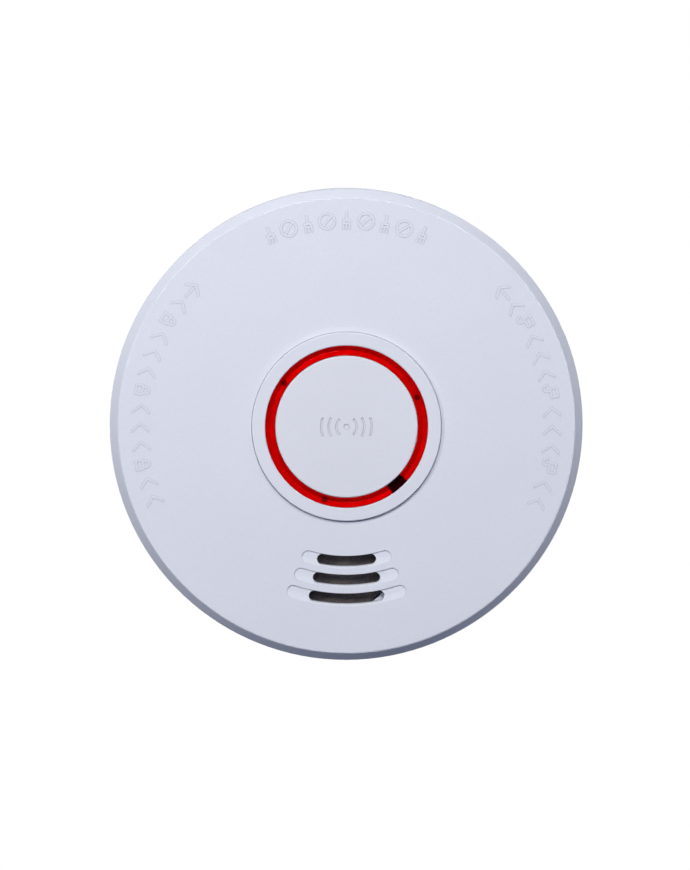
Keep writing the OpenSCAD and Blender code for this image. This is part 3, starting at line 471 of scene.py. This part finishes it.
def return_spring():
    """A compression spring with closed ends, in the place of the plainer button spring."""
    low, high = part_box("button_spring")
    wire_r = 0.3 * MM
    coil_r = high.x - wire_r
    closed_turns = 1.0
    open_turns = 2.5
    closed_pitch = 2 * wire_r + 0.03 * MM
    rise = high.z - low.z - 2 * wire_r
    open_pitch = (rise - 2 * closed_turns * closed_pitch) / open_turns
    steps_per_turn = 48
    steps = round((2 * closed_turns + open_turns) * steps_per_turn)
    path = []
    z = low.z + wire_r
    for i in range(steps + 1):
        turn = i / steps_per_turn
        path.append(around(Vector((0, 0)), coil_r, 2 * math.pi * turn, z))
        middle = closed_turns <= turn < closed_turns + open_turns
        z += (open_pitch if middle else closed_pitch) / steps_per_turn
    spring = Shape()
    spring.wire(path, wire_r, 12)
    piece = spring.make("return_spring", "spring_steel", "button_spring")
    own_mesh(piece)


def felt_pad():
    """Matted felt over the horn: an uneven disc with loose fibres lying on it."""
    low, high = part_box("horn_gauze")
    centre = (low + high) / 2
    radius = (high.x - low.x) / 2
    edge_round = 0.15 * MM
    sink = 0.06 * MM
    rings = 54
    sides = 150
    pad = Shape()

    def uneven(x, y):
        place = Vector((x, y, 0)) / MM
        swells = 0.05 * MM * noise.noise(place * 0.7)
        tufts = 0.035 * MM * noise.noise(place * 2.3)
        return swells + tufts

    rows = []
    for i in range(rings + 1):
        r = radius * max(i, 0.02) / rings
        drop = edge_round if i == rings else 0.0
        row = []
        for k in range(sides):
            point = around(centre, r, 2 * math.pi * k / sides, high.z - drop)
            point.z += uneven(point.x, point.y) * (0.0 if i == rings else 1.0) - sink
            row.append(point)
        rows.append(pad.ring(row))
    for inner, outer in zip(rows, rows[1:]):
        pad.join(inner, outer)
    floor = pad.ring([around(centre, radius, 2 * math.pi * k / sides, low.z) for k in range(sides)])
    pad.join(rows[-1], floor)
    pad.faces.append(tuple(rows[0]))
    pad.faces.append(tuple(reversed(floor)))
    draw = random.Random(7)
    fibre_r = 0.03 * MM
    fibre_count = 750
    fibre_steps = 6
    step_length = 0.28 * MM
    clear_edge = 0.1 * MM
    for _ in range(fibre_count):
        start_r = radius * 0.93 * math.sqrt(draw.random())
        spot = around(centre, start_r, draw.uniform(0, 2 * math.pi), 0)
        heading = draw.uniform(0, 2 * math.pi)
        bend = draw.uniform(-0.35, 0.35)
        arch = draw.uniform(0.0, 0.07) * MM
        path = []
        for step in range(fibre_steps + 1):
            lift = math.sin(math.pi * step / fibre_steps) * arch
            path.append(Vector((spot.x, spot.y, high.z - sink + uneven(spot.x, spot.y) + lift)))
            spot = spot + Vector((math.cos(heading), math.sin(heading), 0)) * step_length
            heading += bend
        reach = max(Vector((p.x - centre.x, p.y - centre.y)).length for p in path)
        if reach < radius - clear_edge:
            pad.wire(path, fibre_r, 3)
    pad.make("horn_felt", "black_felt", "horn_gauze")


def woven_screen():
    """Plain-woven wire cloth bent into a tube round the smoke chamber."""
    low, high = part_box("insect_screen")
    centre = (low + high) / 2
    outer = (high.x - low.x) / 2
    wire_r = 0.075 * MM
    sway = 0.085 * MM
    middle_r = outer - wire_r - sway
    uprights = 120
    hoops = 13
    pitch = (high.z - low.z - 2 * wire_r) / (hoops - 1)
    cloth = Shape()
    for k in range(hoops):
        z = low.z + wire_r + k * pitch
        path = []
        for i in range(2 * uprights):
            over = math.cos(math.pi * i / 2 + math.pi * k)
            path.append(around(centre, middle_r + sway * over, math.pi * i / uprights, z))
        cloth.wire(path, wire_r, 6, closed=True)
    for i in range(uprights):
        path = []
        for k in range(2 * (hoops - 1) + 1):
            over = -math.cos(math.pi * k / 2 + math.pi * i)
            path.append(around(centre, middle_r + sway * over, 2 * math.pi * i / uprights,
                               low.z + wire_r + k * pitch / 2))
        cloth.wire(path, wire_r, 6)
    cloth.make("woven_screen", "screen_steel", "insect_screen")


def feet(node, spread_apart=0.0):
    """Where a part meets the board: at its legs, or two places spread_apart from a legless body's middle."""
    points = [v.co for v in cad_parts[node].data.vertices]
    lowest = min(p.z for p in points)
    foot_height = 0.06 * MM
    body_gap = 4.6 * MM
    leg_gap = 0.9 * MM
    near = body_gap if spread_apart else leg_gap
    groups = []
    for p in points:
        if p.z > lowest + foot_height:
            continue
        flat = Vector((p.x, p.y, 0))
        joined = [g for g in groups if any((q - flat).length < near for q in g)]
        merged = [flat] + [q for g in joined for q in g]
        groups = [g for g in groups if g not in joined] + [merged]
    centres = [sum(g, Vector((0, 0, 0))) / len(g) for g in groups]
    if not spread_apart:
        return centres
    return [c + Vector((side * spread_apart, 0, 0)) for c in centres for side in (-1, 1)]


def solder_side():
    """Solder cones with clipped legs under the board, and tracks between neighbouring joints."""
    board_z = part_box("circuit_board")[0].z
    half_pitch = 1.27 * MM
    longest_track = 11 * MM
    shortest_track = 0.2 * MM
    places = []
    for node in ("resistors", "control_chip", "infrared_emitter", "photodiode", "horn_leads",
                 "battery_lead_red", "battery_lead_black"):
        places.extend(feet(node))
    for node in ("capacitors", "horn_coil", "status_led"):
        places.extend(feet(node, half_pitch))
    places.sort(key=lambda p: (round(p.x, 4), round(p.y, 4)))
    solder = Shape()
    cone = [(0.85, 0.0), (0.6, 0.12), (0.38, 0.45), (0.28, 0.8), (0.22, 1.1)]
    outline = [(radius * MM, board_z - depth * MM) for radius, depth in cone]
    for p in places:
        solder.turned(p, outline, 14)
    solder.make("solder_joints", "nickel_steel")
    tracks = Shape()
    half = 0.3 * MM
    thick = 0.05 * MM
    for first, second in zip(places, places[1:]):
        if (second - first).length > longest_track:
            continue
        corner = Vector((second.x, first.y, 0))
        for start, end in ((first, corner), (corner, second)):
            if (end - start).length < shortest_track:
                continue
            heading = (end - start).normalized()
            side = Vector((-heading.y, heading.x, 0)) * half
            z_top = Vector((0, 0, board_z))
            z_low = Vector((0, 0, board_z - thick))
            reach = heading * half
            edge = [start - reach - side, end + reach - side, end + reach + side, start - reach + side]
            upper = tracks.ring([c + z_top for c in edge])
            lower = tracks.ring([c + z_low for c in edge])
            tracks.join(upper, lower)
            tracks.faces.append(tuple(upper))
            tracks.faces.append(tuple(reversed(lower)))
    tracks.make("board_tracks", "board_laminate")


return_spring()
felt_pad()
woven_screen()
solder_side()


# --------------------------------------------------------------------------------------------------
# Stage: a pale floor, soft lights and the camera

def pale_floor():
    """A luminous white table with a soft contact shade, seen only from above so the back can be looked at.

    It neither shadows nor lights the object, so light from below reaches the back and the side wall.
    """
    half = 12.0
    mesh = bpy.data.meshes.new("floor")
    corners = [(-half, -half, 0), (half, -half, 0), (half, half, 0), (-half, half, 0)]
    mesh.from_pydata(corners, [], [(0, 1, 2, 3)])
    floor = bpy.data.objects.new("floor", mesh)
    gap = 0.05 * MM
    floor.location.z = cad_low.z - gap
    floor.visible_shadow = False
    floor.visible_diffuse = False
    floor.visible_glossy = False
    floor.visible_transmission = False
    bpy.context.scene.collection.objects.link(floor)
    f = Finish("floor_look")
    # Painted contact shadow: ambient occlusion within 2.4 mm dims the floor's glow near the object.
    contact = f.node("ShaderNodeAmbientOcclusion", {"Distance": 2.4 * MM}, samples=8).outputs["AO"]
    shade = f.spread(contact, 0.45, 1.0, 0.2, 0.95)
    strength = f.combine(shade, f.spread(f.noise(60, 2), 1.0, 1.02), "MULTIPLY")
    glow = f.node("ShaderNodeEmission", {"Color": (1, 1, 1), "Strength": strength})
    backfacing = f.node("ShaderNodeNewGeometry").outputs["Backfacing"]
    nothing = f.node("ShaderNodeBsdfTransparent")
    surface = f.node("ShaderNodeMixShader", {0: backfacing, 1: glow.outputs[0], 2: nothing.outputs[0]})
    f.node("ShaderNodeOutputMaterial", {"Surface": surface.outputs[0]})
    mesh.materials.append(f.material)


def surroundings():
    """White to the camera; to the object a dim blue room with soft pale light coming from below."""
    world = bpy.data.worlds.new("studio")
    world.use_nodes = True
    nodes = world.node_tree.nodes
    links = world.node_tree.links
    nodes.clear()

    def glow(colour, strength):
        background = nodes.new("ShaderNodeBackground")
        background.inputs["Color"].default_value = (*colour, 1)
        background.inputs["Strength"].default_value = strength
        return background.outputs[0]

    def mixed(share, first, second):
        mix = nodes.new("ShaderNodeMixShader")
        links.new(share, mix.inputs[0])
        links.new(first, mix.inputs[1])
        links.new(second, mix.inputs[2])
        return mix.outputs[0]

    heading = nodes.new("ShaderNodeTexCoord").outputs["Generated"]
    axes = nodes.new("ShaderNodeSeparateXYZ")
    links.new(heading, axes.inputs[0])
    downward = nodes.new("ShaderNodeMapRange")
    downward.inputs["From Min"].default_value = -0.3
    downward.inputs["From Max"].default_value = -0.7
    links.new(axes.outputs["Z"], downward.inputs["Value"])
    room = mixed(downward.outputs[0], glow((0.32, 0.44, 1.0), 0.12), glow((0.9, 0.94, 1.0), 1.2))
    seen = nodes.new("ShaderNodeLightPath").outputs["Is Camera Ray"]
    output = nodes.new("ShaderNodeOutputWorld")
    links.new(mixed(seen, room, glow((1, 1, 1), 1.0)), output.inputs[0])
    bpy.context.scene.world = world


def direction(tilt_degrees, azimuth_degrees):
    """A unit vector tilted from +Z toward an azimuth measured from +X."""
    tilt = math.radians(tilt_degrees)
    azimuth = math.radians(azimuth_degrees)
    return Vector((math.sin(tilt) * math.cos(azimuth), math.sin(tilt) * math.sin(azimuth), math.cos(tilt)))


def soft_light(name, tilt, azimuth, size, watts):
    """A round white lamp aimed at the middle of the back."""
    distance = 0.9
    lamp = bpy.data.lights.new(name, "AREA")
    lamp.shape = "DISK"
    lamp.size = size
    lamp.energy = watts
    holder = bpy.data.objects.new(name, lamp)
    away = direction(tilt, azimuth)
    holder.location = away * distance
    holder.rotation_mode = "QUATERNION"
    holder.rotation_quaternion = away.to_track_quat("Z", "Y")
    bpy.context.scene.collection.objects.link(holder)


def studio_camera():
    """Looks almost straight at the face, from slightly above and to the left."""
    tilt = 4.95
    azimuth = 98.4
    distance = 0.90
    body_share = 0.5437
    sensor = 36.0
    camera = bpy.data.cameras.new("camera")
    camera.sensor_width = sensor
    camera.lens = sensor * body_share * distance / (2 * BODY_RADIUS)
    camera.shift_x = -0.0016
    camera.shift_y = -0.0107
    camera.clip_start = 0.01
    holder = bpy.data.objects.new("camera", camera)
    back = direction(tilt, azimuth)
    right = Vector((0, 1, 0)).cross(back).normalized()
    up = back.cross(right)
    turn = Matrix((right, up, back)).transposed().to_4x4()
    holder.matrix_world = Matrix.Translation(Vector((0, 0, FACE_TOP - 3 * MM)) + back * distance) @ turn
    bpy.context.scene.collection.objects.link(holder)
    bpy.context.scene.camera = holder


pale_floor()
surroundings()
soft_light("key", tilt=34, azimuth=95, size=0.5, watts=5.5)
soft_light("side", tilt=47, azimuth=155, size=0.12, watts=2.35)
soft_light("fill", tilt=55, azimuth=14, size=0.5, watts=1.1)
studio_camera()
bpy.context.scene.view_settings.view_transform = "Standard"
